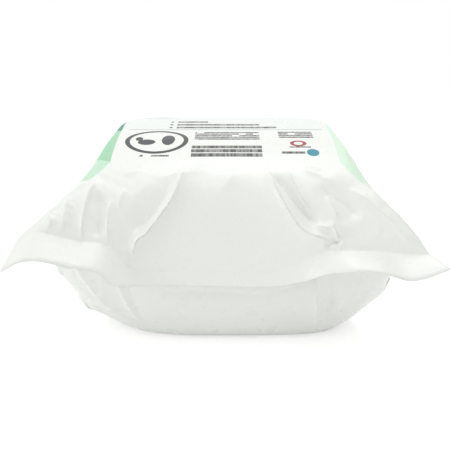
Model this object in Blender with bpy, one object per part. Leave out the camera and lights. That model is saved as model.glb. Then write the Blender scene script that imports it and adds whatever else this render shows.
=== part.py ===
"""Film pack of premoistened wipes, lying on its back panel.

One sealed bag of thin film round an upright roll of wipes. The film is a tube:
its upper and lower sheets are flat on each other at the end seals and at the
ears, and part round the roll in between. Metres, +Z up, near end towards -Y.
"""
import math

import bmesh
import bpy
from mathutils import Vector

# The roll inside, standing on its end
ROLL_RADIUS = 0.1085
ROLL_HEIGHT = 0.152

# How the film lies over the roll's two ends: level from side to side, and
# drawn down towards the near and the far seal
SIDE_EASE = 0.002
TOP_EASE = 0.003
END_DRAW = 0.012
END_DRAW_POWER = 2.66
TOP_EDGE_ROUND = 0.0055
TOP_NEAR_REACH = 0.105
TOP_FAR_REACH = 0.106
TOP_NEAR_SQUARENESS = 6.4
TOP_FAR_SQUARENESS = 2.6
TOP_TAPER = 0.07
BASE_NEAR_REACH = 0.122
BASE_FAR_REACH = 0.110
BASE_LEFT_SQUARENESS = 3.7
BASE_RIGHT_SQUARENESS = 6.2
RIM_BOW = 0.06

# Where the film bends between rim and edge, as a share of the way, and how high:
# on the slopes to the ends and the steep sides, above and below
END_KNEE_SHARE = 0.36
SIDE_KNEE_SHARE = 0.60
CORNER_FILM_SHARE = 0.53
CORNER_FILM_LIFT = 0.49
SIDE_FILM_SHARE = 0.74
SIDE_FILM_LIFT = 0.12
STEEP_FROM = 0.715
STEEP_SPAN = 0.20

# The film itself
FOLD_THICKNESS = 0.0012
WIDTH_SLACK = 0.0025
LENGTH_SLACK = 0.008
SIDE_BULGE = 0.0035
SHOULDER_RISE = 0.014
SIDE_FLARE = 2.1

# Where the two layers lie on each other at an ear, as shares of the film from its corner
EAR_ACROSS = 0.17
EAR_LENGTHWISE = 0.37
EAR_OPENING = 0.6

# The seal at the near end, at mid height
SEAL_WIDTH = 0.028
NEAR_SEAL_REACH = 0.151
NEAR_SEAL_HEIGHT = 0.072
NEAR_EAR_REACH = 0.160
NEAR_EAR_HALF_SPAN = 0.165
NEAR_SEAL_SPLAY = 0.010
NEAR_FLARE = 2.4

# The seal at the far end, which hangs lower
FAR_SEAL_REACH = 0.135
FAR_SEAL_HEIGHT = 0.040
FAR_EAR_REACH = 0.150
FAR_EAR_HALF_SPAN = 0.160
FAR_EAR_DROOP = 0.014
FAR_SEAL_DROOP = 0.012
FAR_FLARE = 2.2

# Rise and fall of the near seal's root from its left ear (-1) to its right ear (1)
NEAR_SEAL_WAVE = (
    (-1.0, 0.0335), (-0.9, 0.037), (-0.72, 0.029), (-0.57, 0.024), (-0.50, 0.009), (-0.43, 0.002),
    (-0.25, 0.0), (0.2, -0.001), (0.35, 0.005), (0.47, 0.018), (0.55, 0.020), (0.72, 0.020), (0.85, 0.019),
    (1.0, 0.019),
)

# How far the near seal's free edge hangs below its root, and how far it stands out from it.
# In the middle the seal is narrower and bent down.
NEAR_SEAL_DROOP = (
    (-1.0, -0.0185), (-0.8, -0.010), (-0.55, -0.012), (-0.44, -0.009), (-0.1, -0.009), (0.3, -0.010),
    (0.47, -0.012), (0.6, -0.007), (0.72, -0.008), (0.82, -0.012), (0.9, -0.009), (1.0, -0.001),
)
NEAR_SEAL_OUTWARD = (
    (-1.0, SEAL_WIDTH), (-0.55, SEAL_WIDTH), (-0.42, 0.010), (-0.30, 0.007), (0.32, 0.007), (0.48, 0.018),
    (0.6, SEAL_WIDTH), (1.0, SEAL_WIDTH),
)

# Sizes that follow
TOP_HEIGHT = ROLL_HEIGHT + TOP_EASE
TOP_HALF_WIDTH = ROLL_RADIUS - TOP_EDGE_ROUND
RIM_HALF_WIDTH = ROLL_RADIUS + SIDE_EASE
FILM_HALF_WIDTH = RIM_HALF_WIDTH + TOP_HEIGHT / 2 + WIDTH_SLACK
FILM_HALF_LENGTH = (
    TOP_NEAR_REACH
    + math.hypot(NEAR_SEAL_REACH - TOP_NEAR_REACH, TOP_HEIGHT - END_DRAW - NEAR_SEAL_HEIGHT)
    + LENGTH_SLACK
)
SIDE_FOLD_HEIGHT = TOP_HEIGHT / 2

# Folds of the film: start and end as shares of the film's half width and half
# length, then height and half width in metres. Negative heights are grooves.
UPPER_FOLDS = (
    ((-0.20, -0.69), (-0.45, -0.97), 0.0050, 0.011),
    ((0.21, -0.64), (0.48, -0.95), 0.0050, 0.011),
    ((0.28, -0.62), (0.53, -0.90), -0.0040, 0.010),
    ((-0.26, -0.62), (-0.50, -0.90), -0.0035, 0.009),
    ((-0.56, -0.84), (-0.56, -0.99), 0.0035, 0.009),
    ((-0.68, -0.75), (-0.66, -0.99), 0.0035, 0.009),
    ((-0.62, -0.80), (-0.61, -0.98), -0.0030, 0.008),
    ((0.93, -0.34), (0.93, -0.95), 0.0035, 0.010),
    ((0.59, -0.80), (0.71, -0.94), 0.0030, 0.010),
)
LOWER_FOLDS = (
    ((-0.50, -0.93), (-0.39, -0.66), 0.0035, 0.011),
    ((0.47, -0.95), (0.45, -0.68), 0.0035, 0.011),
    ((-0.72, -0.92), (-0.64, -0.70), 0.0035, 0.012),
    ((0.72, -0.90), (0.64, -0.68), 0.0035, 0.012),
    ((-0.80, -0.52), (-0.56, -0.72), 0.0055, 0.014),
    ((-0.88, -0.72), (-0.73, -0.88), -0.0045, 0.011),
    ((0.92, -0.75), (0.76, -0.90), -0.0060, 0.012),
)
FOLD_FADE = 0.10
BODY_SQUARES = 40
RIM_SHARE = 0.6
SEAL_ROWS = 1

FILM_COLOUR = (0.86, 0.88, 0.85, 1.0)


def clear_scene():
    """Start from an empty scene."""
    for obj in list(bpy.data.objects):
        bpy.data.objects.remove(obj, do_unlink=True)


def clamp(value, low=0.0, high=1.0):
    return max(low, min(high, value))


def eased(value):
    """Smooth rise from 0 to 1."""
    t = clamp(value)
    return t * t * (3 - 2 * t)


def blend(low, high, share):
    return low + (high - low) * share


def along(knots, place):
    """Smooth height of a line through knots of place and height."""
    last = len(knots) - 1
    index = 0
    while index < last - 1 and place > knots[index + 1][0]:
        index += 1
    (start, low), (end, high) = knots[index], knots[index + 1]

    def slope(knot):
        before, after = knots[max(knot - 1, 0)], knots[min(knot + 1, last)]
        return (after[1] - before[1]) / (after[0] - before[0])

    span = end - start
    t = clamp((place - start) / span)
    return (
        (2 * t ** 3 - 3 * t ** 2 + 1) * low
        + (t ** 3 - 2 * t ** 2 + t) * span * slope(index)
        + (3 * t ** 2 - 2 * t ** 3) * high
        + (t ** 3 - t ** 2) * span * slope(index + 1)
    )


def near_root(across):
    """Line where the near seal starts, with across from -1 to 1."""
    spread = abs(across) ** NEAR_FLARE
    reach = NEAR_SEAL_REACH + (NEAR_EAR_REACH - NEAR_SEAL_REACH) * spread
    return Vector((NEAR_EAR_HALF_SPAN * across, -reach, NEAR_SEAL_HEIGHT + along(NEAR_SEAL_WAVE, across)))


def far_root(across):
    """Line where the far seal starts, with across from -1 to 1."""
    reach = FAR_SEAL_REACH + (FAR_EAR_REACH - FAR_SEAL_REACH) * abs(across) ** FAR_FLARE
    return Vector((FAR_EAR_HALF_SPAN * across, reach, FAR_SEAL_HEIGHT - FAR_EAR_DROOP * across ** 2))


def side_fold(side, lengthwise):
    """Line where the two sheets meet at one side, with lengthwise from -1 to 1."""
    ear = near_root(side) if lengthwise < 0 else far_root(side)
    share = abs(lengthwise)
    middle = side * (RIM_HALF_WIDTH + SIDE_BULGE)
    flare = clamp((share - 0.1) / 0.9) ** SIDE_FLARE
    height = SIDE_FOLD_HEIGHT + (ear.z - SIDE_FOLD_HEIGHT) * share ** 1.2
    if lengthwise < 0:
        height += 4 * share * (1 - share) * SHOULDER_RISE
    return Vector((middle + (ear.x - middle) * flare, ear.y * share, height))


def film_edge(across, lengthwise):
    """Edge of the film on the ray from its middle through a point of the flat film."""
    reach = max(abs(across), abs(lengthwise))
    u = across / reach
    v = lengthwise / reach
    if abs(v) >= abs(u):
        return near_root(u) if v < 0 else far_root(u)
    return side_fold(math.copysign(1, u), v)


def rounded_square(cosine, sine, half_width, near, far, squareness):
    """Distance from the middle to a rounded square in one direction, bowed a little like an oval."""
    half_length = near if sine < 0 else far

    def outline(power):
        shares = abs(cosine / half_width) ** power + abs(sine / half_length) ** power
        return shares ** (-1 / power)

    return outline(squareness) * (1 - RIM_BOW) + outline(2) * RIM_BOW


def swept(start, knee, end, t):
    """Point on the curve that leaves start towards knee and arrives at end."""
    return start * (1 - t) ** 2 + knee * (2 * t * (1 - t)) + end * t ** 2


def film_direction(across, lengthwise):
    """Cosine and sine of the direction from the film's middle to a point of the flat film."""
    x = FILM_HALF_WIDTH * across
    y = FILM_HALF_LENGTH * lengthwise
    distance = math.hypot(x, y)
    return (x / distance, y / distance) if distance else (0.0, 1.0)


def end_draw(y):
    """How far the film over the roll is drawn down at a distance y from its middle."""
    return END_DRAW * abs(y / ROLL_RADIUS) ** END_DRAW_POWER


def upper_sheet(across, lengthwise):
    """Point of the upper sheet: level over the roll, then down to the film's edge."""
    cosine, sine = film_direction(across, lengthwise)
    half_width = TOP_HALF_WIDTH * (1 - TOP_TAPER * sine)
    squareness = blend(TOP_NEAR_SQUARENESS, TOP_FAR_SQUARENESS, eased(sine + 0.5))
    rim_distance = rounded_square(cosine, sine, half_width, TOP_NEAR_REACH, TOP_FAR_REACH, squareness)
    rim = Vector((rim_distance * cosine, rim_distance * sine, 0))
    rim.z = TOP_HEIGHT - end_draw(rim.y)
    reach = max(abs(across), abs(lengthwise))
    if reach < RIM_SHARE:
        share = reach / RIM_SHARE
        return Vector((rim.x * share, rim.y * share, TOP_HEIGHT - end_draw(rim.y * share)))
    edge = film_edge(across, lengthwise)
    step = edge - rim
    level = math.hypot(step.x, step.y)
    drop = -step.z
    steep = clamp((drop / math.hypot(drop, level) - 0.45) / 0.5)
    share = blend(END_KNEE_SHARE, SIDE_KNEE_SHARE, steep)
    slope = END_DRAW_POWER * end_draw(rim.y) / rim_distance
    knee = rim + step * share
    knee.z = rim.z - min(slope * level * share, 0.6 * drop)
    return swept(rim, knee, edge, (reach - RIM_SHARE) / (1 - RIM_SHARE))


def lower_sheet(across, lengthwise):
    """Point of the lower sheet: flat under the roll, then up to the film's edge."""
    cosine, sine = film_direction(across, lengthwise)
    squareness = blend(BASE_LEFT_SQUARENESS, BASE_RIGHT_SQUARENESS, eased(cosine + 0.5))
    rim_distance = rounded_square(cosine, sine, RIM_HALF_WIDTH, BASE_NEAR_REACH, BASE_FAR_REACH, squareness)
    rim = Vector((rim_distance * cosine, rim_distance * sine, 0))
    reach = max(abs(across), abs(lengthwise))
    if reach < RIM_SHARE:
        return rim * (reach / RIM_SHARE)
    edge = film_edge(across, lengthwise)
    step = edge - rim
    steep = clamp((step.z / step.length - STEEP_FROM) / STEEP_SPAN)
    knee = rim + step * blend(CORNER_FILM_SHARE, SIDE_FILM_SHARE, steep)
    knee.z = step.z * blend(CORNER_FILM_LIFT, SIDE_FILM_LIFT, steep)
    return swept(rim, knee, edge, (reach - RIM_SHARE) / (1 - RIM_SHARE))


def ear_closeness(across, lengthwise):
    """1 where the lower sheet lies on the upper one at an ear, easing to 0 away from it."""
    away = (1 - abs(across)) / EAR_ACROSS + (1 - abs(lengthwise)) / EAR_LENGTHWISE
    return eased((1 + EAR_OPENING / 2 - away) / EAR_OPENING)


def fold_height(folds, across, lengthwise):
    """Height of the folds at a point of the film, fading out at its edge and at the roll's rim."""
    here = Vector((FILM_HALF_WIDTH * across, FILM_HALF_LENGTH * lengthwise))
    height = 0.0
    for start, end, rise, half_width in folds:
        low = Vector((FILM_HALF_WIDTH * start[0], FILM_HALF_LENGTH * start[1]))
        run = Vector((FILM_HALF_WIDTH * end[0], FILM_HALF_LENGTH * end[1])) - low
        t = clamp((here - low).dot(run) / run.length_squared)
        away = (here - low - run * t).length / half_width
        height += rise * math.exp(-away ** 2) * (0.35 + 0.65 * math.sin(math.pi * t))
    reach = max(abs(across), abs(lengthwise))
    return height * clamp((1 - reach) / FOLD_FADE) * clamp((reach - RIM_SHARE) / FOLD_FADE)


def folded(sheet, folds, across, lengthwise, outward):
    """Point of a sheet with its folds raised square to the sheet."""
    place = sheet(across, lengthwise)
    height = fold_height(folds, across, lengthwise)
    if abs(height) < 1e-5:
        return place
    nudge = 0.01
    over = sheet(across + nudge, lengthwise) - sheet(across - nudge, lengthwise)
    up = sheet(across, lengthwise + nudge) - sheet(across, lengthwise - nudge)
    return place + over.cross(up).normalized() * height * outward


def seal_point(across, lengthwise):
    """Point of an end seal, whose share past the root runs from 1 to 2."""
    share = abs(lengthwise) - 1
    if lengthwise < 0:
        droop = along(NEAR_SEAL_DROOP, across)
        outward = along(NEAR_SEAL_OUTWARD, across)
        splay = NEAR_SEAL_SPLAY * across
        return near_root(across) + Vector((splay, -outward, droop)) * share
    return far_root(across) + Vector((0, SEAL_WIDTH, -FAR_SEAL_DROOP)) * share


def film_point(across, lengthwise, upper):
    """Point of the pack's surface. Lengthwise is 1 at a seal's root and 2 at its free edge."""
    if abs(lengthwise) > 1:
        place = seal_point(across, lengthwise)
    else:
        place = folded(upper_sheet, UPPER_FOLDS, across, lengthwise, 1)
        if not upper:
            opened = folded(lower_sheet, LOWER_FOLDS, across, lengthwise, -1)
            place = blend(opened, place, ear_closeness(across, lengthwise))
    if upper:
        place.z += FOLD_THICKNESS
    return place


def row_place(row):
    """Lengthwise place of a row of the film's grid."""
    body = row - SEAL_ROWS
    if body < 0:
        return -1 + body / SEAL_ROWS
    if body > BODY_SQUARES:
        return 1 + (body - BODY_SQUARES) / SEAL_ROWS
    return 2 * body / BODY_SQUARES - 1


def split_towards_middle(faces):
    """Split each square of a flat grid on the diagonal that points to its middle."""
    for face in faces:
        centre = face.calc_center_median()
        lean = 1 if centre.x * centre.y > 0 else -1
        corners = sorted(face.verts, key=lambda vert: vert.co.x + lean * vert.co.y)
        bmesh.utils.face_split(face, corners[0], corners[-1])


def film_faces(bm, verts):
    """Faces of the mesh that the given points carry."""
    wanted = set(verts)
    return [face for face in bm.faces if wanted.issuperset(face.verts)]


def film_sheet(bm, upper):
    """One sheet of the film from a grid whose points are laid over the roll."""
    rows = BODY_SQUARES + 2 * SEAL_ROWS
    grid = bmesh.ops.create_grid(bm, x_segments=BODY_SQUARES, y_segments=rows, size=1)
    split_towards_middle(film_faces(bm, grid["verts"]))
    for vert in grid["verts"]:
        row = round((vert.co.y + 1) / 2 * rows)
        vert.co = film_point(vert.co.x, row_place(row), upper)
    if not upper:
        bmesh.ops.reverse_faces(bm, faces=film_faces(bm, grid["verts"]))


def film_material():
    """White polyethylene film, softly glossy."""
    material = bpy.data.materials.new("white_film")
    material.use_nodes = True
    shader = material.node_tree.nodes["Principled BSDF"]
    shader.inputs["Base Color"].default_value = FILM_COLOUR
    shader.inputs["Roughness"].default_value = 0.32
    shader.inputs["Metallic"].default_value = 0.0
    return material


def centre_on_floor(bm):
    """Put the middle of the pack's outline over the origin."""
    low = Vector((min(v.co.x for v in bm.verts), min(v.co.y for v in bm.verts), 0))
    high = Vector((max(v.co.x for v in bm.verts), max(v.co.y for v in bm.verts), 0))
    bmesh.ops.translate(bm, verts=bm.verts, vec=-(low + high) / 2)


def wipes_pack():
    """The sealed pack as one closed solid."""
    bm = bmesh.new()
    film_sheet(bm, upper=True)
    film_sheet(bm, upper=False)
    borders = [edge for edge in bm.edges if edge.is_boundary]
    bmesh.ops.bridge_loops(bm, edges=borders)
    centre_on_floor(bm)
    bmesh.ops.recalc_face_normals(bm, faces=bm.faces)
    mesh = bpy.data.meshes.new("wipes_pack")
    bm.to_mesh(mesh)
    bm.free()
    mesh.shade_smooth()
    mesh.set_sharp_from_angle(angle=math.radians(35))
    mesh.materials.append(film_material())
    pack = bpy.data.objects.new("wipes_pack", mesh)
    bpy.context.scene.collection.objects.link(pack)
    return pack


clear_scene()
wipes_pack()
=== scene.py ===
import math

import bmesh
import bpy
import numpy as np
from mathutils import Matrix, Vector, noise


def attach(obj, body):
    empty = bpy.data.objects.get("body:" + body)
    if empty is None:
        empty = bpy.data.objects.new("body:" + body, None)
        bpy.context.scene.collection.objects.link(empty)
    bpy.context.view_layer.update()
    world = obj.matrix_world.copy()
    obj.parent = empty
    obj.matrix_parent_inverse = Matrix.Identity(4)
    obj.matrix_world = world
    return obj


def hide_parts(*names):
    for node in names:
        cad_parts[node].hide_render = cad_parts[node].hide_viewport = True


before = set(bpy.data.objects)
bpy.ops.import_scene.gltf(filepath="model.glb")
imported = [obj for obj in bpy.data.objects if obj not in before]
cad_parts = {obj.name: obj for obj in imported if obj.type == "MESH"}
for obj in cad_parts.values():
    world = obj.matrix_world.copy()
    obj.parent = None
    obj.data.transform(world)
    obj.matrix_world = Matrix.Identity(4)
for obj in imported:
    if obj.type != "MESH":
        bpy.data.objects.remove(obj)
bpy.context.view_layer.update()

# The roll inside, and how the film lies over its two ends
ROLL_RADIUS = 0.1085
ROLL_HEIGHT = 0.152
SIDE_EASE = 0.002
TOP_EASE = 0.003
END_DRAW = 0.012
END_DRAW_POWER = 2.66
TOP_EDGE_ROUND = 0.0055
TOP_NEAR_REACH = 0.105
TOP_FAR_REACH = 0.106
TOP_NEAR_SQUARENESS = 6.4
TOP_FAR_SQUARENESS = 2.6
TOP_TAPER = 0.07
BASE_NEAR_REACH = 0.122
BASE_FAR_REACH = 0.110
BASE_LEFT_SQUARENESS = 3.7
BASE_RIGHT_SQUARENESS = 6.2
RIM_BOW = 0.06
SIDE_KNEE_SHARE = 0.60
END_KNEE_SHARE = 0.36
CORNER_FILM_SHARE = 0.53
CORNER_FILM_LIFT = 0.49
SIDE_FILM_SHARE = 0.74
SIDE_FILM_LIFT = 0.12
STEEP_FROM = 0.715
STEEP_SPAN = 0.20
WIDTH_SLACK = 0.0025
LENGTH_SLACK = 0.008
SIDE_BULGE = 0.0035
SHOULDER_RISE = 0.014
SIDE_STRAIGHT_SHARE = 0.1
SIDE_FOLD_POWER = 1.2
TOP_STEEP_FROM = 0.45
TOP_STEEP_SPAN = 0.5
TOP_KNEE_DROP = 0.6

# The two end seals and their ears
SEAL_WIDTH = 0.028
NEAR_SEAL_REACH = 0.151
NEAR_SEAL_HEIGHT = 0.072
NEAR_EAR_REACH = 0.160
NEAR_EAR_HALF_SPAN = 0.165
NEAR_SEAL_SPLAY = 0.010
NEAR_FLARE = 2.4
FAR_SEAL_REACH = 0.135
FAR_SEAL_HEIGHT = 0.040
FAR_EAR_REACH = 0.150
FAR_EAR_HALF_SPAN = 0.160
FAR_EAR_DROOP = 0.014
FAR_SEAL_DROOP = 0.012
FAR_FLARE = 2.2
SIDE_FLARE = 2.1

# Where the two layers lie on each other at an ear, as shares of the film from its corner
EAR_ACROSS = 0.17
EAR_LENGTHWISE = 0.37
EAR_OPENING = 0.6

# The near seal from ear to ear: rise and fall of its root, and how far its free edge lies below
# the root and outward from it
NEAR_SEAL_WAVE = (
    (-1.0, 0.0335), (-0.9, 0.037), (-0.72, 0.029), (-0.57, 0.024), (-0.50, 0.009), (-0.43, 0.002),
    (-0.25, 0.0), (0.2, -0.001), (0.35, 0.005), (0.47, 0.018), (0.55, 0.020), (0.72, 0.020), (0.85, 0.019),
    (1.0, 0.019),
)
NEAR_SEAL_DROOP = (
    (-1.0, -0.0185), (-0.8, -0.010), (-0.55, -0.012), (-0.44, -0.009), (-0.1, -0.009), (0.3, -0.010),
    (0.47, -0.012), (0.6, -0.007), (0.72, -0.008), (0.82, -0.012), (0.9, -0.009), (1.0, -0.001),
)
NEAR_SEAL_OUTWARD = (
    (-1.0, 0.028), (-0.55, 0.028), (-0.42, 0.010), (-0.30, 0.007), (0.32, 0.007), (0.48, 0.018),
    (0.6, 0.028), (1.0, 0.028),
)

# Two layers of film welded together
WELD_THICKNESS = 0.0006

# Sizes that follow
TOP_HEIGHT = ROLL_HEIGHT + TOP_EASE
TOP_HALF_WIDTH = ROLL_RADIUS - TOP_EDGE_ROUND
RIM_HALF_WIDTH = ROLL_RADIUS + SIDE_EASE
FILM_HALF_WIDTH = RIM_HALF_WIDTH + TOP_HEIGHT / 2 + WIDTH_SLACK
FILM_HALF_LENGTH = (
    TOP_NEAR_REACH
    + math.hypot(NEAR_SEAL_REACH - TOP_NEAR_REACH, TOP_HEIGHT - END_DRAW - NEAR_SEAL_HEIGHT)
    + LENGTH_SLACK
)
SIDE_FOLD_HEIGHT = TOP_HEIGHT / 2
RIM_SHARE = 0.6
LENGTHWISE_SHIFT = (NEAR_EAR_REACH - FAR_EAR_REACH) / 2

# Squares of the film's mesh: start, end and count of each stretch, closest together at the near end
COLUMN_STRETCHES = ((-1.0, -0.6, 70), (-0.6, 0.6, 200), (0.6, 1.0, 70))
ROW_STRETCHES = (
    (-2.0, -1.03, 5), (-1.03, -1.0, 1), (-1.0, -0.6, 78), (-0.6, 0.6, 24), (0.6, 1.0, 30), (1.0, 1.04, 1),
    (1.04, 2.0, 4),
)

# Creases of each sheet: points in millimetres on the flat film, rise in millimetres,
# width in millimetres on the left and on the right of its run, and how much of each end fades
LEFT_RIDGE = ((-34, -96), (-43, -132), (-51, -147), (-72, -169), (-84, -177), (-90, -190))
RIGHT_RIDGE = ((33, -92), (46, -133), (62, -160), (72, -172), (85, -181), (100, -187))
UPPER_CREASES = (
    (LEFT_RIDGE, 3.5, 9.0, 4.0, (0.5, 0.0)),
    (LEFT_RIDGE, 4.1, 2.2, 1.8, (0.3, 0.0)),
    (((-47, -116), (-53, -136), (-63, -151), (-81, -167), (-95, -175)), -4.3, 3.0, 9.0, (0.4, 0.3)),
    (RIGHT_RIDGE, 3.8, 4.0, 9.0, (0.5, 0.0)),
    (RIGHT_RIDGE, 3.2, 1.9, 2.8, (0.3, 0.0)),
    (((38, -98), (53, -130), (69, -155), (81, -168), (93, -176)), -4.9, 9.0, 3.0, (0.3, 0.2)),
    (((50, -92), (60, -124), (72, -148), (84, -164)), 3.8, 2.0, 2.0, (0.4, 0.3)),
    (((59, -90), (79, -110), (96, -129), (107, -144)), 2.8, 12.0, 3.0, (0.4, 0.4)),
    (((84, -124), (97, -140), (113, -152), (128, -168)), -3.0, 6.0, 7.0, (0.3, 0.2)),
    (((112, -130), (136, -152), (158, -171), (178, -192)), 4.1, 12.0, 2.6, (0.3, 0.0)),
    (((92, -140), (100, -156), (106, -170)), 2.4, 2.4, 2.4, (0.4, 0.3)),
    (((-117, -122), (-127, -145), (-133, -172), (-134, -196)), 4.6, 2.0, 4.0, (0.4, 0.0)),
    (((-106, -148), (-109, -168), (-110, -192)), 4.3, 2.0, 3.0, (0.4, 0.0)),
    (((-120, -142), (-120, -166), (-120, -190)), -3.2, 6.0, 6.0, (0.3, 0.1)),
    (((-92, -134), (-97, -150), (-100, -166)), 2.2, 2.4, 4.0, (0.4, 0.4)),
    (((-146, -150), (-150, -168), (-152, -190)), 2.7, 2.4, 6.0, (0.4, 0.0)),
    (((-168, -172), (-163, -182), (-166, -194)), 2.7, 2.4, 3.0, (0.4, 0.0)),
    (((9, -78), (7, -104), (-2, -128), (-16, -146)), 1.8, 9.0, 11.0, (0.5, 0.5)),
    (((-6, -84), (-24, -102), (-45, -110), (-68, -116)), 2.7, 9.0, 3.0, (0.4, 0.4)),
    (((-66, -92), (-78, -104), (-94, -116)), 1.6, 5.0, 4.0, (0.4, 0.4)),
    (((97, -168), (104, -180), (110, -194)), 5.4, 2.2, 2.2, (0.3, 0.0)),
    (((82, -170), (92, -175), (102, -174)), 4.1, 2.2, 2.2, (0.4, 0.4)),
    (((88, -186), (95, -192), (100, -194)), 3.5, 2.2, 2.2, (0.4, 0.0)),
    (((94, -192), (101, -187), (110, -187)), -8.1, 2.6, 2.6, (0.3, 0.2)),
    (((-58, 112), (-72, 138), (-88, 160), (-104, 184)), 4.0, 10.0, 4.0, (0.5, 0.0)),
    (((52, 108), (66, 136), (84, 158), (96, 182)), 4.0, 4.0, 10.0, (0.5, 0.0)),
    (((12, 104), (6, 134), (-8, 160)), 1.8, 9.0, 9.0, (0.4, 0.4)),
    (((104, 130), (118, 150), (130, 176)), -3.0, 7.0, 7.0, (0.3, 0.1)),
    (((-112, 128), (-128, 152), (-138, 178)), 3.0, 5.0, 8.0, (0.3, 0.0)),
    (((140, 140), (150, 162), (156, 186)), 2.6, 5.0, 8.0, (0.3, 0.0)),
)
LOWER_CREASES = (
    (((-114, -194), (-98, -174), (-82, -154), (-66, -138)), 3.6, 3.0, 10.0, (0.1, 0.3)),
    (((-98, -190), (-84, -166), (-66, -137)), -3.0, 6.0, 6.0, (0.1, 0.4)),
    (((-152, -98), (-128, -117), (-106, -138)), 5.0, 14.0, 14.0, (0.45, 0.45)),
    (((-176, -146), (-153, -153), (-146, -176)), -5.0, 11.0, 11.0, (0.4, 0.4)),
    (((182, -150), (160, -158), (150, -180)), -7.0, 12.0, 12.0, (0.4, 0.4)),
    (((-150, -190), (-128, -168), (-104, -148), (-69, -134)), 2.4, 2.4, 6.0, (0.1, 0.4)),
    (((84, -194), (82, -156), (80, -135)), 3.4, 2.4, 4.0, (0.1, 0.4)),
    (((97, -190), (95, -162), (88, -138)), -3.0, 6.0, 6.0, (0.1, 0.4)),
    (((130, -184), (112, -164), (93, -151)), 3.0, 5.0, 6.0, (0.2, 0.3)),
    (((-70, -180), (0, -180), (40, -178), (100, -186)), -2.6, 4.0, 4.0, (0.2, 0.2)),
    (((-92, 186), (-84, 150), (-72, 124)), 3.0, 8.0, 6.0, (0.1, 0.3)),
    (((96, 186), (86, 152), (80, 126)), 3.0, 6.0, 8.0, (0.1, 0.3)),
)
ROOT_FADE = 0.045
RIM_FADE = 0.05
BASE_FADE_HEIGHT = 0.006
CREASE_POWER = 1.2

# Crumples: size and height of each kind, and how they fade off the roll and towards the ears
COARSE_CRUMPLE_SIZE = 0.024
FINE_CRUMPLE_SIZE = 0.010
SOFT_WAVE_SIZE = 0.05
END_CRUMPLE_HEIGHT = 0.0002
END_WAVE_HEIGHT = 0.0008
EAR_CRUMPLE_HEIGHT = 0.0016
EAR_FINE_HEIGHT = 0.0007
ROLL_WAVE_HEIGHT = 0.0003
ROLL_FADE = 0.12
EAR_FROM_ACROSS = 0.5
EAR_FROM_LENGTHWISE = 0.55
EAR_FADE = 0.3
SIDE_FOLD_FADE = 0.2
RIGHT_EAR_SHARE = 0.4
UPPER_SEED = 3.1
LOWER_SEED = 8.7
FINE_SEED_STEP = 5.3
SOFT_SEED_STEP = 11.9

# Names of the mesh's data that the film's material reads
FILM_MAP = "flat_film"
UPPER_SHARE = "upper_share"


# Form of the film

def clamp(values, low=0.0, high=1.0):
    return np.clip(values, low, high)


def eased(values):
    """Smooth rise from 0 to 1."""
    t = clamp(values)
    return t * t * (3 - 2 * t)


def placed(x, y, z):
    """Points from their three coordinates."""
    return np.stack(np.broadcast_arrays(x, y, z), axis=-1).astype(float)


def along(knots, place):
    """Smooth height of a line through knots of place and height."""
    places, heights = np.array(knots, float).T
    slopes = np.gradient(heights) / np.gradient(places)
    index = clamp(np.searchsorted(places, place) - 1, 0, len(places) - 2).astype(int)
    span = places[index + 1] - places[index]
    t = clamp((place - places[index]) / span)
    return (
        (2 * t ** 3 - 3 * t ** 2 + 1) * heights[index]
        + (t ** 3 - 2 * t ** 2 + t) * span * slopes[index]
        + (3 * t ** 2 - 2 * t ** 3) * heights[index + 1]
        + (t ** 3 - t ** 2) * span * slopes[index + 1]
    )


def near_root(across):
    """Line where the near seal starts, with across from -1 to 1."""
    reach = NEAR_SEAL_REACH + (NEAR_EAR_REACH - NEAR_SEAL_REACH) * np.abs(across) ** NEAR_FLARE
    return placed(NEAR_EAR_HALF_SPAN * across, -reach, NEAR_SEAL_HEIGHT + along(NEAR_SEAL_WAVE, across))


def far_root(across):
    """Line where the far seal starts, with across from -1 to 1."""
    reach = FAR_SEAL_REACH + (FAR_EAR_REACH - FAR_SEAL_REACH) * np.abs(across) ** FAR_FLARE
    return placed(FAR_EAR_HALF_SPAN * across, reach, FAR_SEAL_HEIGHT - FAR_EAR_DROOP * across ** 2)


def side_fold(side, lengthwise):
    """Line where the two sheets meet at one side, with lengthwise from -1 to 1."""
    ear = np.where((lengthwise < 0)[..., None], near_root(side), far_root(side))
    share = np.abs(lengthwise)
    middle = side * (RIM_HALF_WIDTH + SIDE_BULGE)
    flare = clamp((share - SIDE_STRAIGHT_SHARE) / (1 - SIDE_STRAIGHT_SHARE)) ** SIDE_FLARE
    height = SIDE_FOLD_HEIGHT + (ear[..., 2] - SIDE_FOLD_HEIGHT) * share ** SIDE_FOLD_POWER
    height = height + np.where(lengthwise < 0, 4 * share * (1 - share) * SHOULDER_RISE, 0)
    return placed(middle + (ear[..., 0] - middle) * flare, ear[..., 1] * share, height)


def film_reach(across, lengthwise):
    """Share of the way from the film's middle to its edge."""
    return np.maximum(np.maximum(np.abs(across), np.abs(lengthwise)), 1e-6)


def film_edge(across, lengthwise):
    """Edge of the film on the ray from its middle through a point of the flat film."""
    reach = film_reach(across, lengthwise)
    u = across / reach
    v = lengthwise / reach
    at_end = np.where((v < 0)[..., None], near_root(u), far_root(u))
    at_side = side_fold(np.where(u < 0, -1.0, 1.0), v)
    return np.where((np.abs(v) >= np.abs(u))[..., None], at_end, at_side)


def rounded_square(cosine, sine, half_width, near, far, squareness):
    """Distance from the middle to a rounded square in one direction, bowed a little like an oval."""
    half_length = np.where(sine < 0, near, far)

    def outline(power):
        shares = np.abs(cosine / half_width) ** power + np.abs(sine / half_length) ** power
        return shares ** (-1 / power)

    return outline(squareness) * (1 - RIM_BOW) + outline(2) * RIM_BOW


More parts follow.
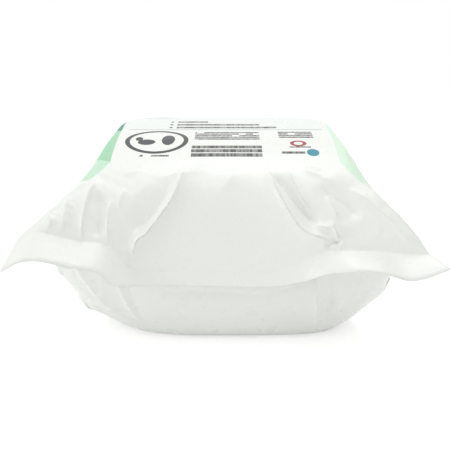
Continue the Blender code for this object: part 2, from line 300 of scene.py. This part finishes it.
def film_direction(across, lengthwise):
    """Cosine and sine of the direction from the film's middle to a point of the flat film."""
    x = FILM_HALF_WIDTH * across
    y = FILM_HALF_LENGTH * lengthwise
    distance = np.maximum(np.hypot(x, y), 1e-9)
    return x / distance, np.where(distance > 1e-8, y / distance, 1.0)


def end_draw(y):
    """How far the film over the roll is drawn down at a distance y from its middle."""
    return END_DRAW * np.abs(y / ROLL_RADIUS) ** END_DRAW_POWER


def swept(start, knee, end, t):
    """Point on the curve that leaves start towards knee and arrives at end."""
    t = t[..., None]
    return start * (1 - t) ** 2 + knee * (2 * t * (1 - t)) + end * t ** 2


def upper_rim(across, lengthwise):
    """Distance from the middle to the rim of the upper sheet's level part."""
    cosine, sine = film_direction(across, lengthwise)
    half_width = TOP_HALF_WIDTH * (1 - TOP_TAPER * sine)
    squareness = TOP_NEAR_SQUARENESS + (TOP_FAR_SQUARENESS - TOP_NEAR_SQUARENESS) * eased(sine + 0.5)
    return rounded_square(cosine, sine, half_width, TOP_NEAR_REACH, TOP_FAR_REACH, squareness)


def lower_rim(across, lengthwise):
    """Distance from the middle to the rim of the lower sheet's flat part."""
    cosine, sine = film_direction(across, lengthwise)
    rightness = eased(cosine + 0.5)
    squareness = BASE_LEFT_SQUARENESS + (BASE_RIGHT_SQUARENESS - BASE_LEFT_SQUARENESS) * rightness
    return rounded_square(cosine, sine, RIM_HALF_WIDTH, BASE_NEAR_REACH, BASE_FAR_REACH, squareness)


def upper_sheet(across, lengthwise):
    """Upper sheet: level over the roll, then down to the film's edge."""
    cosine, sine = film_direction(across, lengthwise)
    rim_distance = upper_rim(across, lengthwise)
    x = rim_distance * cosine
    y = rim_distance * sine
    rim = placed(x, y, TOP_HEIGHT - end_draw(y))
    reach = film_reach(across, lengthwise)
    inward = clamp(reach / RIM_SHARE)
    level = placed(x * inward, y * inward, TOP_HEIGHT - end_draw(y * inward))
    edge = film_edge(across, lengthwise)
    step = edge - rim
    run = np.hypot(step[..., 0], step[..., 1])
    drop = -step[..., 2]
    steep = clamp((drop / np.hypot(drop, run) - TOP_STEEP_FROM) / TOP_STEEP_SPAN)
    share = END_KNEE_SHARE + (SIDE_KNEE_SHARE - END_KNEE_SHARE) * steep
    slope = END_DRAW_POWER * end_draw(y) / rim_distance
    knee = rim + step * share[..., None]
    knee[..., 2] = rim[..., 2] - np.minimum(slope * run * share, TOP_KNEE_DROP * drop)
    sloping = swept(rim, knee, edge, clamp((reach - RIM_SHARE) / (1 - RIM_SHARE)))
    return np.where((reach < RIM_SHARE)[..., None], level, sloping)


def ear_closeness(across, lengthwise):
    """1 where the lower film lies on the upper one at an ear, easing to 0 away from it."""
    away = (1 - np.abs(across)) / EAR_ACROSS + (1 - np.abs(lengthwise)) / EAR_LENGTHWISE
    return eased((1 + EAR_OPENING / 2 - away) / EAR_OPENING)


def lower_sheet(across, lengthwise):
    """Lower sheet, apart from its ears: flat under the roll, then up to the film's edge."""
    cosine, sine = film_direction(across, lengthwise)
    rim_distance = lower_rim(across, lengthwise)
    rim = placed(rim_distance * cosine, rim_distance * sine, 0)
    reach = film_reach(across, lengthwise)
    edge = film_edge(across, lengthwise)
    step = edge - rim
    steep = clamp((step[..., 2] / np.linalg.norm(step, axis=-1) - STEEP_FROM) / STEEP_SPAN)
    knee = rim + step * (CORNER_FILM_SHARE + (SIDE_FILM_SHARE - CORNER_FILM_SHARE) * steep)[..., None]
    knee[..., 2] = step[..., 2] * (CORNER_FILM_LIFT + (SIDE_FILM_LIFT - CORNER_FILM_LIFT) * steep)
    rising = swept(rim, knee, edge, clamp((reach - RIM_SHARE) / (1 - RIM_SHARE)))
    flat = rim * clamp(reach / RIM_SHARE)[..., None]
    return np.where((reach < RIM_SHARE)[..., None], flat, rising)


def seal_strip(across, lengthwise):
    """End seals, whose share past the root runs from 1 to 2."""
    share = clamp(np.abs(lengthwise) - 1)[..., None]
    near = placed(
        NEAR_SEAL_SPLAY * across, -along(NEAR_SEAL_OUTWARD, across), along(NEAR_SEAL_DROOP, across)
    )
    far = placed(0 * across, SEAL_WIDTH, -FAR_SEAL_DROOP)
    near_side = (lengthwise < 0)[..., None]
    return np.where(near_side, near_root(across) + near * share, far_root(across) + far * share)


def flat_film(across, lengthwise, rim_distance):
    """Place on the film before it was filled, in metres from the pack's middle."""
    cosine, sine = film_direction(across, lengthwise)
    rim = np.stack((rim_distance * cosine, rim_distance * sine), axis=-1)
    reach = film_reach(across, clamp(lengthwise, -1, 1))
    edge = np.stack(
        (FILM_HALF_WIDTH * across / reach, FILM_HALF_LENGTH * clamp(lengthwise, -1, 1) / reach), axis=-1
    )
    outward = clamp((reach - RIM_SHARE) / (1 - RIM_SHARE))[..., None]
    inward = clamp(reach / RIM_SHARE)[..., None]
    film = np.where(outward > 0, rim + (edge - rim) * outward, rim * inward)
    beyond = np.sign(lengthwise) * clamp(np.abs(lengthwise) - 1) * SEAL_WIDTH
    film[..., 1] += beyond + LENGTHWISE_SHIFT
    return film


# Creases and crumples

def smooth_track(line, steps=5):
    """Points of a smooth curve through the points of a crease."""
    knots = np.array(line, float) / 1000
    lengths = np.concatenate(([0], np.cumsum(np.linalg.norm(np.diff(knots, axis=0), axis=1))))
    places = np.linspace(0, lengths[-1], steps * (len(knots) - 1) + 1)
    x = along(np.stack((lengths, knots[:, 0]), axis=-1), places)
    y = along(np.stack((lengths, knots[:, 1]), axis=-1), places)
    return np.stack((x, y), axis=-1)


def crease_height(film, line, rise, left, right, fades):
    """Height of one crease over the film, sharp at its crest."""
    track = smooth_track(line)
    steps = np.linalg.norm(np.diff(track, axis=0), axis=1)
    travelled = np.concatenate(([0], np.cumsum(steps)))
    nearest = np.full(film.shape[:-1], np.inf)
    side = np.zeros_like(nearest)
    share = np.zeros_like(nearest)
    for index, length in enumerate(steps):
        run = (track[index + 1] - track[index]) / length
        away = film - track[index]
        distance_along = clamp(away @ run, 0, length)
        gap = away - distance_along[..., None] * run
        distance = np.hypot(gap[..., 0], gap[..., 1])
        closer = distance < nearest
        nearest = np.where(closer, distance, nearest)
        side = np.where(closer, run[0] * gap[..., 1] - run[1] * gap[..., 0], side)
        share = np.where(closer, (travelled[index] + distance_along) / travelled[-1], share)
    width = np.where(side > 0, left, right) / 1000
    body = np.exp(-(nearest / width) ** CREASE_POWER)
    start_fade, end_fade = fades
    body = body * eased(share / start_fade)
    if end_fade:
        body = body * eased((1 - share) / end_fade)
    return rise / 1000 * body


def noise_field(film, size, seed):
    """Smooth noise from -1 to 1 over the film, with bumps of the given size in metres."""
    flat = film.reshape(-1, 2) / size
    values = [noise.noise((x, y, seed)) for x, y in flat]
    return np.array(values).reshape(film.shape[:-1])


def crumple_height(film, across, lengthwise, seed):
    """Small crumples: strongest at the ears, soft on the end panels, hardly any over the roll."""
    reach = film_reach(across, clamp(lengthwise, -1, 1))
    off_roll = eased((reach - RIM_SHARE) / ROLL_FADE)
    ear_across = eased((np.abs(across) - EAR_FROM_ACROSS) / EAR_FADE)
    ear_lengthwise = eased((np.abs(lengthwise) - EAR_FROM_LENGTHWISE) / EAR_FADE)
    ear = ear_across * ear_lengthwise
    ear = ear * eased((1 - np.abs(across)) / SIDE_FOLD_FADE) * np.where(across > 0, RIGHT_EAR_SHARE, 1.0)
    coarse = 1 - 2 * np.abs(noise_field(film, COARSE_CRUMPLE_SIZE, seed))
    fine = 1 - 2 * np.abs(noise_field(film, FINE_CRUMPLE_SIZE, seed + FINE_SEED_STEP))
    soft = noise_field(film, SOFT_WAVE_SIZE, seed + SOFT_SEED_STEP)
    return (
        off_roll * (END_CRUMPLE_HEIGHT * coarse + END_WAVE_HEIGHT * soft)
        + ear * (EAR_CRUMPLE_HEIGHT * coarse + EAR_FINE_HEIGHT * fine)
        + ROLL_WAVE_HEIGHT * soft
    )


def film_layout(across, lengthwise, sheet, rim, creases, upper):
    """Points of one sheet with its creases, and their places on the flat film."""
    body = sheet(across, clamp(lengthwise, -1, 1))
    points = np.where((np.abs(lengthwise) > 1)[..., None], seal_strip(across, lengthwise), body)
    film = flat_film(across, lengthwise, rim(across, lengthwise))
    over = np.gradient(points, axis=1)
    up = np.gradient(points, axis=0)
    normal = np.cross(over, up)
    normal /= np.linalg.norm(normal, axis=-1)[..., None]
    height = sum(crease_height(film, *crease) for crease in creases)
    reach = film_reach(across, lengthwise)
    height = height * clamp((reach - RIM_SHARE + RIM_FADE) / RIM_FADE)
    seed = UPPER_SEED if upper else LOWER_SEED
    height = height + crumple_height(film, across, lengthwise, seed)
    height = height * clamp((1 - reach) / ROOT_FADE)
    if not upper:
        height = height * clamp(points[..., 2] / BASE_FADE_HEIGHT)
    points = points + normal * (height if upper else -height)[..., None]
    points[..., 1] += LENGTHWISE_SHIFT
    return points, film


def film_sheets():
    """Points of the upper and the lower sheet, and their places on the flat film."""
    across, lengthwise = np.meshgrid(spaced(COLUMN_STRETCHES), spaced(ROW_STRETCHES))
    upper, upper_film = film_layout(across, lengthwise, upper_sheet, upper_rim, UPPER_CREASES, True)
    opened, lower_film = film_layout(across, lengthwise, lower_sheet, lower_rim, LOWER_CREASES, False)
    closeness = ear_closeness(across, clamp(lengthwise, -1, 1))[..., None]
    lower = opened * (1 - closeness) + upper * closeness
    upper = upper + (0, 0, WELD_THICKNESS)
    return upper, upper_film, lower, lower_film


def spaced(stretches):
    """Places of the mesh's rows or columns."""
    places = [stretches[0][0]]
    for start, end, count in stretches:
        places.extend(np.linspace(start, end, count + 1)[1:])
    return np.array(places)


def wipes_pack():
    """The film bag as one closed mesh: two sheets joined all round."""
    columns = len(spaced(COLUMN_STRETCHES)) - 1
    rows = len(spaced(ROW_STRETCHES)) - 1
    bm = bmesh.new()
    for height in (0, 1):
        bmesh.ops.create_grid(
            bm, x_segments=columns, y_segments=rows, size=1, matrix=Matrix.Translation((0, 0, height))
        )
    borders = [edge for edge in bm.edges if edge.is_boundary]
    bmesh.ops.bridge_loops(bm, edges=borders)
    bmesh.ops.recalc_face_normals(bm, faces=bm.faces)
    mesh = bpy.data.meshes.new("wipes_bag")
    bm.to_mesh(mesh)
    bm.free()

    flat = np.empty(len(mesh.vertices) * 3)
    mesh.vertices.foreach_get("co", flat)
    flat = flat.reshape(-1, 3)
    column = np.rint((flat[:, 0] + 1) / 2 * columns).astype(int)
    row = np.rint((flat[:, 1] + 1) / 2 * rows).astype(int)
    upper = flat[:, 2] > 0.5
    upper_points, upper_film, lower_points, lower_film = film_sheets()
    points = np.where(upper[:, None], upper_points[row, column], lower_points[row, column])
    film = np.where(upper[:, None], upper_film[row, column], lower_film[row, column])
    mesh.vertices.foreach_set("co", points.ravel())

    corners = np.empty(len(mesh.loops), int)
    mesh.loops.foreach_get("vertex_index", corners)
    film_map = mesh.uv_layers.new(name=FILM_MAP)
    film_map.uv.foreach_set("vector", film[corners].ravel())
    upper_share = mesh.attributes.new(UPPER_SHARE, "FLOAT", "POINT")
    upper_share.data.foreach_set("value", upper.astype(float))
    mesh.shade_smooth()
    mesh.update()
    pack = bpy.data.objects.new("wipes_bag", mesh)
    bpy.context.scene.collection.objects.link(pack)
    return pack


# Materials

def linear(hex_colour):
    """Linear colour from an sRGB hex value."""
    shades = [int(hex_colour[i:i + 2], 16) / 255 for i in (0, 2, 4)]
    return (*[c / 12.92 if c <= 0.04045 else ((c + 0.055) / 1.055) ** 2.4 for c in shades], 1.0)


def add_node(tree, kind, inputs=(), **settings):
    """Add a node with its settings. Each input is a value, or a socket to link from."""
    node = tree.nodes.new(kind)
    for name, value in settings.items():
        setattr(node, name, value)
    for key, value in dict(inputs).items():
        if isinstance(value, bpy.types.NodeSocket):
            tree.links.new(value, node.inputs[key])
        else:
            node.inputs[key].default_value = value
    return node


def new_material(name):
    """Material with an empty tree and its output node."""
    material = bpy.data.materials.new(name)
    material.use_nodes = True
    material.node_tree.nodes.clear()
    return material, material.node_tree


def stripe(tree, value, low, high):
    """1 across a stripe of print between two places, and 0 beside it."""
    return add_node(
        tree, "ShaderNodeMath", {0: value, 1: (low + high) / 2, 2: (high - low) / 2}, operation="COMPARE"
    ).outputs[0]


def oval(tree, flat, centre, radii, inner=0.0):
    """1 on an oval of print, or on a ring where its inner edge is stated as a share."""
    away = add_node(tree, "ShaderNodeVectorMath", {0: flat, 1: (*centre, 0)}, operation="SUBTRACT")
    shares = add_node(tree, "ShaderNodeVectorMath", {0: away.outputs[0], 1: (*radii, 1)}, operation="DIVIDE")
    distance = add_node(tree, "ShaderNodeVectorMath", {0: shares.outputs[0]}, operation="LENGTH")
    return stripe(tree, distance.outputs["Value"], inner, 1.0)


def printed(tree, base, colour, *places):
    """A colour laid over another where all of the places are 1."""
    share = places[0]
    for place in places[1:]:
        share = add_node(tree, "ShaderNodeMath", {0: share, 1: place}, operation="MULTIPLY").outputs[0]
    mix = add_node(tree, "ShaderNodeMix", {"Factor": share, 6: base, 7: linear(colour)}, data_type="RGBA")
    return mix.outputs[2]


def text_lines(tree, x, y, left, right, top, pitch, lines, height, letter):
    """Rows of marks of uneven darkness that stand for lines of print, with gaps like words."""
    down = add_node(tree, "ShaderNodeMath", {0: top, 1: y}, operation="SUBTRACT")
    row = add_node(tree, "ShaderNodeMath", {0: down.outputs[0], 1: pitch}, operation="DIVIDE").outputs[0]
    line = add_node(tree, "ShaderNodeMath", {0: row}, operation="FLOOR").outputs[0]
    in_line = add_node(tree, "ShaderNodeMath", {0: row}, operation="FRACT").outputs[0]
    chances = []
    for size in (letter * WORD_LETTERS, letter):
        place = add_node(tree, "ShaderNodeMath", {0: x, 1: size}, operation="DIVIDE").outputs[0]
        cell = add_node(tree, "ShaderNodeMath", {0: place}, operation="FLOOR").outputs[0]
        spot = add_node(tree, "ShaderNodeCombineXYZ", {0: cell, 1: line, 2: size * MILLIMETRES_A_METRE})
        chance = add_node(tree, "ShaderNodeTexWhiteNoise", {"Vector": spot.outputs[0]})
        chances.append(chance.outputs["Value"])
    in_word = stripe(tree, chances[0], WORD_GAPS, 1.0)
    darkness = add_node(
        tree, "ShaderNodeMapRange", {"Value": chances[1], "To Min": PALEST_MARK, "To Max": 1.0}
    )
    return (
        stripe(tree, x, left, right), stripe(tree, row, 0, lines), stripe(tree, in_line, 0, height / pitch),
        in_word, darkness.outputs["Result"],
    )


# Print on the label, in metres on the flat film: left, right, top, pitch, lines, letter height, letter width
LABEL_TEXT = (
    (-0.047, -0.017, 0.0490, 0.0080, 1, 0.0075, 0.0018),
    (-0.047, 0.034, 0.0345, 0.0080, 1, 0.0072, 0.0018),
    (-0.047, 0.050, 0.0215, 0.0080, 1, 0.0070, 0.0018),
    (-0.028, 0.032, -0.0015, 0.0058, 5, 0.0041, 0.0011),
    (-0.030, 0.033, -0.0466, 0.0096, 3, 0.0074, 0.0016),
    (0.050, 0.082, -0.0005, 0.0062, 4, 0.0043, 0.0011),
    (-0.075, -0.049, -0.0690, 0.0060, 1, 0.0036, 0.0012),
    (0.058, 0.077, -0.0490, 0.0050, 1, 0.0030, 0.0012),
    (0.050, 0.071, -0.0615, 0.0060, 1, 0.0050, 0.0016),
)
WORD_LETTERS = 6
WORD_GAPS = 0.07
PALEST_MARK = 0.65
MILLIMETRES_A_METRE = 1000

# Fields of the print: the white label, and where the green sides end, first on a line that
# leans out towards the ears because the film's corners are drawn there
LABEL_HALF_WIDTH = 0.099
LABEL_NEAR_EDGE = -0.080
LABEL_FAR_EDGE = 0.078
TINT_FROM = 0.009
GREEN_LEAN = 1.45
GREEN_LEAN_END = 0.0551
GREEN_HALF_LENGTH = 0.130
GREEN_BELOW_FOLD = 0.165
# Where the painted light on the left green side starts, towards its ends
PAINTED_LIGHT_FROM_END = 0.088
CORNER_RADII = (0.045, 0.075)

# Plain shapes of the print: the rule, the bullets, the grey ring with three ovals, the red ring
# and the blue oval, each as places or as a centre and radii
RULE_WIDTH = (0.0072, 0.0094)
RULE_ENDS = (-0.092, 0.093)
BULLET_COLUMN = -0.0525
BULLET_ROWS = (0.045, 0.031, 0.018)
BULLET_RADII = (0.0016, 0.0028)
GREY_OVALS = (
    ((-0.0625, -0.0320), (0.0290, 0.0344), 0.85), ((-0.0520, -0.0305), (0.0060, 0.0150), 0),
    ((-0.0715, -0.0370), (0.0080, 0.0080), 0), ((-0.0790, -0.0270), (0.0035, 0.0060), 0),
)
RED_RING = ((0.0665, -0.0405), (0.0075, 0.0083), 0.55)
BLUE_OVAL = ((0.0778, -0.0636), (0.0055, 0.0080))

# Colours of the print, and the left green side's painted shade and painted light
FILM_WHITE = "F6F8F3"
LABEL_TINT = "F0F6F2"
SIDE_GREEN = "DDF6E0"
# Darker green on the left side: partly a deeper print, partly painted shade
DEEP_GREEN_AND_PAINTED_SHADE_LEFT = "A8DDB8"
# Paler green at the left side's ends: painted light on a lit facet
PAINTED_LIGHT_GREEN_LEFT = "CFEFD7"
CORNER_GREEN = "1F9068"
INK = "0A0B0D"
RING_GREY = "2B2E31"
RULE_GREY = "B9BBB6"
RING_RED = "A02422"
OVAL_BLUE = "0F8EA2"


def print_colours(tree, flat, upper):
    """Fields of colour and plain shapes on the white film, and painted shade and light on the left green."""
    places = add_node(tree, "ShaderNodeSeparateXYZ", {0: flat})
    x = places.outputs["X"]
    y = places.outputs["Y"]
    side = add_node(tree, "ShaderNodeMath", {0: x}, operation="ABSOLUTE").outputs[0]
    centred = add_node(tree, "ShaderNodeMath", {0: y, 1: LENGTHWISE_SHIFT}, operation="SUBTRACT").outputs[0]
    end = add_node(tree, "ShaderNodeMath", {0: centred}, operation="ABSOLUTE").outputs[0]
    reach = add_node(tree, "ShaderNodeMath", {0: side, 1: GREEN_LEAN}, operation="MULTIPLY").outputs[0]
    lean = add_node(tree, "ShaderNodeMath", {0: reach, 1: end}, operation="SUBTRACT").outputs[0]
    on_upper = stripe(tree, upper, 0.5, 1.0)
    below_fold = stripe(tree, side, GREEN_BELOW_FOLD, 1.0)
    round_side = add_node(tree, "ShaderNodeMath", {0: on_upper, 1: below_fold}, operation="MAXIMUM")
    on_side = (
        stripe(tree, side, LABEL_HALF_WIDTH, 1.0), stripe(tree, lean, GREEN_LEAN_END, 1.0),
        stripe(tree, end, 0, GREEN_HALF_LENGTH), round_side.outputs[0],
    )

    white = add_node(tree, "ShaderNodeRGB")
    white.outputs[0].default_value = linear(FILM_WHITE)
    colour = printed(tree, white.outputs[0], SIDE_GREEN, *on_side)
    # The left green side is darker, partly a deeper print and partly painted shade
    left_painted_shading_side = (*on_side, stripe(tree, x, -1.0, 0.0))
    colour = printed(tree, colour, DEEP_GREEN_AND_PAINTED_SHADE_LEFT, *left_painted_shading_side)
    # Towards its ends the left green turns paler: painted light on a lit facet
    colour = printed(tree, colour, PAINTED_LIGHT_GREEN_LEFT, *left_painted_shading_side, stripe(tree, end, PAINTED_LIGHT_FROM_END, 1.0))
    label_corner = (-LABEL_HALF_WIDTH, LABEL_FAR_EDGE)
    colour = printed(tree, colour, CORNER_GREEN, oval(tree, flat, label_corner, CORNER_RADII), on_upper)
    label = (
        stripe(tree, side, 0, LABEL_HALF_WIDTH), stripe(tree, y, LABEL_NEAR_EDGE, LABEL_FAR_EDGE), on_upper
    )
    colour = printed(tree, colour, FILM_WHITE, *label)
    colour = printed(tree, colour, LABEL_TINT, *label, stripe(tree, y, TINT_FROM, LABEL_FAR_EDGE))

    for block in LABEL_TEXT:
        colour = printed(tree, colour, INK, *text_lines(tree, x, y, *block), on_upper)
    rule = (stripe(tree, y, *RULE_WIDTH), stripe(tree, x, *RULE_ENDS), on_upper)
    colour = printed(tree, colour, RULE_GREY, *rule)
    for row in BULLET_ROWS:
        bullet = oval(tree, flat, (BULLET_COLUMN, row), BULLET_RADII)
        colour = printed(tree, colour, INK, bullet, on_upper)
    for grey_oval in GREY_OVALS:
        colour = printed(tree, colour, RING_GREY, oval(tree, flat, *grey_oval), on_upper)
    colour = printed(tree, colour, RING_RED, oval(tree, flat, *RED_RING), on_upper)
    return printed(tree, colour, OVAL_BLUE, oval(tree, flat, *BLUE_OVAL), on_upper)


# The film's finish: waves, as thin film shows in a soft reflection
WAVE_SIZE = 0.012
WAVE_HEIGHT = 0.0008
WAVE_STRENGTH = 0.5
WAVE_SHARES = (0.3, 0.7)
FILM_ROUGHNESS = (0.24, 0.36)
POLYETHYLENE_IOR = 1.51
FILM_SPECULAR = 0.3


def polyethylene_film():
    """Blown polyethylene film, white right through and printed: soft gloss over fine waves."""
    material, tree = new_material("polyethylene_film")
    film = add_node(tree, "ShaderNodeUVMap", uv_map=FILM_MAP)
    upper = add_node(tree, "ShaderNodeAttribute", attribute_name=UPPER_SHARE)
    here = add_node(tree, "ShaderNodeTexCoord")
    colour = print_colours(tree, film.outputs["UV"], upper.outputs["Fac"])

    waves = add_node(
        tree, "ShaderNodeTexNoise", {"Vector": here.outputs["Object"], "Scale": 1 / WAVE_SIZE, "Detail": 3}
    )
    wavy = add_node(
        tree, "ShaderNodeBump",
        {"Height": waves.outputs["Fac"], "Strength": WAVE_STRENGTH, "Distance": WAVE_HEIGHT},
    )
    rough = add_node(
        tree, "ShaderNodeMapRange",
        {
            "Value": waves.outputs["Fac"], "From Min": WAVE_SHARES[0], "From Max": WAVE_SHARES[1],
            "To Min": FILM_ROUGHNESS[0], "To Max": FILM_ROUGHNESS[1],
        },
    )
    shader = add_node(
        tree, "ShaderNodeBsdfPrincipled",
        {
            "Base Color": colour, "Roughness": rough.outputs["Result"], "IOR": POLYETHYLENE_IOR,
            "Specular IOR Level": FILM_SPECULAR, "Normal": wavy.outputs["Normal"],
        },
    )
    add_node(tree, "ShaderNodeOutputMaterial", {"Surface": shader.outputs[0]})
    return material


# Studio

FLOOR_DROP = 0.0003
FLOOR_SOLID_RADIUS = 0.55
FLOOR_CLEAR_RADIUS = 1.3
FLOOR_SEGMENTS = 96
FLOOR_WHITE = "FAFAFA"
FLOOR_LIFT = 0.36
FILL_STRENGTH = 0.65

# Soft lamps: name, place, side of the face and watts, all turned to the middle of the pack
SOFTBOXES = (
    ("key_softbox", (-0.15, -0.4, 1.6), 0.25, 1.0),
    ("overhead_softbox", (0.15, 0.2, 1.7), 0.8, 4.3),
    ("back_softbox", (0.15, 0.9, 1.4), 0.8, 4.2),
    ("front_softbox", (0.2, -1.8, 0.2), 0.8, 1.8),
    ("left_softbox", (-1.5, -0.5, 0.5), 0.6, 4.2),
)
PACK_MIDDLE = (0, 0, 0.08)

# The photograph's camera: place in metres, degrees down from level, lens and sensor in millimetres
CAMERA_PLACE = (0, -0.775, 0.340)
CAMERA_PITCH = 19.8
CAMERA_LENS = 66.4
CAMERA_SENSOR = 36.0


def seen_rays(tree):
    """1 for the camera's rays and for those seen in a gloss or through glass."""
    rays = add_node(tree, "ShaderNodeLightPath")
    either = add_node(
        tree, "ShaderNodeMath", {0: rays.outputs["Is Camera Ray"], 1: rays.outputs["Is Glossy Ray"]},
        operation="MAXIMUM",
    )
    return add_node(
        tree, "ShaderNodeMath", {0: either.outputs[0], 1: rays.outputs["Is Transmission Ray"]},
        operation="MAXIMUM",
    ).outputs[0]


def studio_floor():
    """Matt white sweep that keeps the pack's shadow and fades into the white background."""
    bm = bmesh.new()
    bmesh.ops.create_circle(bm, cap_ends=True, segments=FLOOR_SEGMENTS, radius=FLOOR_CLEAR_RADIUS)
    bmesh.ops.translate(bm, verts=bm.verts, vec=Vector((0, 0, -FLOOR_DROP)))
    mesh = bpy.data.meshes.new("studio_floor")
    bm.to_mesh(mesh)
    bm.free()
    floor = bpy.data.objects.new("studio_floor", mesh)
    bpy.context.scene.collection.objects.link(floor)

    material, tree = new_material("matt_white_sweep")
    matt = add_node(tree, "ShaderNodeBsdfDiffuse", {"Color": linear(FLOOR_WHITE)})
    lift = add_node(tree, "ShaderNodeMath", {0: seen_rays(tree), 1: FLOOR_LIFT}, operation="MULTIPLY")
    glow = add_node(tree, "ShaderNodeEmission", {"Strength": lift.outputs[0]})
    lit = add_node(tree, "ShaderNodeAddShader", {0: matt.outputs[0], 1: glow.outputs[0]})
    here = add_node(tree, "ShaderNodeTexCoord")
    away = add_node(tree, "ShaderNodeVectorMath", {0: here.outputs["Object"]}, operation="LENGTH")
    fade = add_node(
        tree, "ShaderNodeMapRange",
        {"Value": away.outputs["Value"], "From Min": FLOOR_SOLID_RADIUS, "From Max": FLOOR_CLEAR_RADIUS},
        interpolation_type="SMOOTHSTEP",
    )
    behind = add_node(tree, "ShaderNodeNewGeometry")
    clear_share = add_node(
        tree, "ShaderNodeMath", {0: fade.outputs["Result"], 1: behind.outputs["Backfacing"]},
        operation="MAXIMUM",
    )
    clear = add_node(tree, "ShaderNodeBsdfTransparent")
    mixed = add_node(
        tree, "ShaderNodeMixShader", {0: clear_share.outputs[0], 1: lit.outputs[0], 2: clear.outputs[0]}
    )
    add_node(tree, "ShaderNodeOutputMaterial", {"Surface": mixed.outputs[0]})
    mesh.materials.append(material)


def studio_world():
    """White all round: soft fill on the pack, and plain white where it is seen."""
    world = bpy.data.worlds.new("studio_world")
    bpy.context.scene.world = world
    world.use_nodes = True
    tree = world.node_tree
    tree.nodes.clear()
    level = add_node(
        tree, "ShaderNodeMapRange", {"Value": seen_rays(tree), "To Min": FILL_STRENGTH, "To Max": 1.0}
    )
    white = add_node(
        tree, "ShaderNodeBackground", {"Color": (1, 1, 1, 1), "Strength": level.outputs["Result"]}
    )
    add_node(tree, "ShaderNodeOutputWorld", {"Surface": white.outputs[0]})


def softbox(name, place, size, watts):
    """Square lamp with a soft white face, turned to the pack."""
    lamp = bpy.data.lights.new(name, "AREA")
    lamp.shape = "SQUARE"
    lamp.size = size
    lamp.energy = watts
    box = bpy.data.objects.new(name, lamp)
    box.location = place
    aim = Vector(PACK_MIDDLE) - Vector(place)
    box.rotation_euler = aim.to_track_quat("-Z", "Y").to_euler()
    box.visible_camera = False
    bpy.context.scene.collection.objects.link(box)


def studio_camera():
    """Camera at the photograph's place: in front of the near end, looking a little down."""
    camera = bpy.data.cameras.new("studio_camera")
    camera.sensor_width = CAMERA_SENSOR
    camera.lens = CAMERA_LENS
    eye = bpy.data.objects.new("studio_camera", camera)
    eye.location = CAMERA_PLACE
    eye.rotation_euler = (math.radians(90 - CAMERA_PITCH), 0, 0)
    bpy.context.scene.collection.objects.link(eye)
    bpy.context.scene.camera = eye


# The scene

pack = wipes_pack()
pack.data.materials.append(polyethylene_film())
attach(pack, "root")
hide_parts("wipes_pack")

studio_floor()
studio_world()
for name, place, size, watts in SOFTBOXES:
    softbox(name, place, size, watts)
studio_camera()
bpy.context.scene.view_settings.view_transform = "Standard"
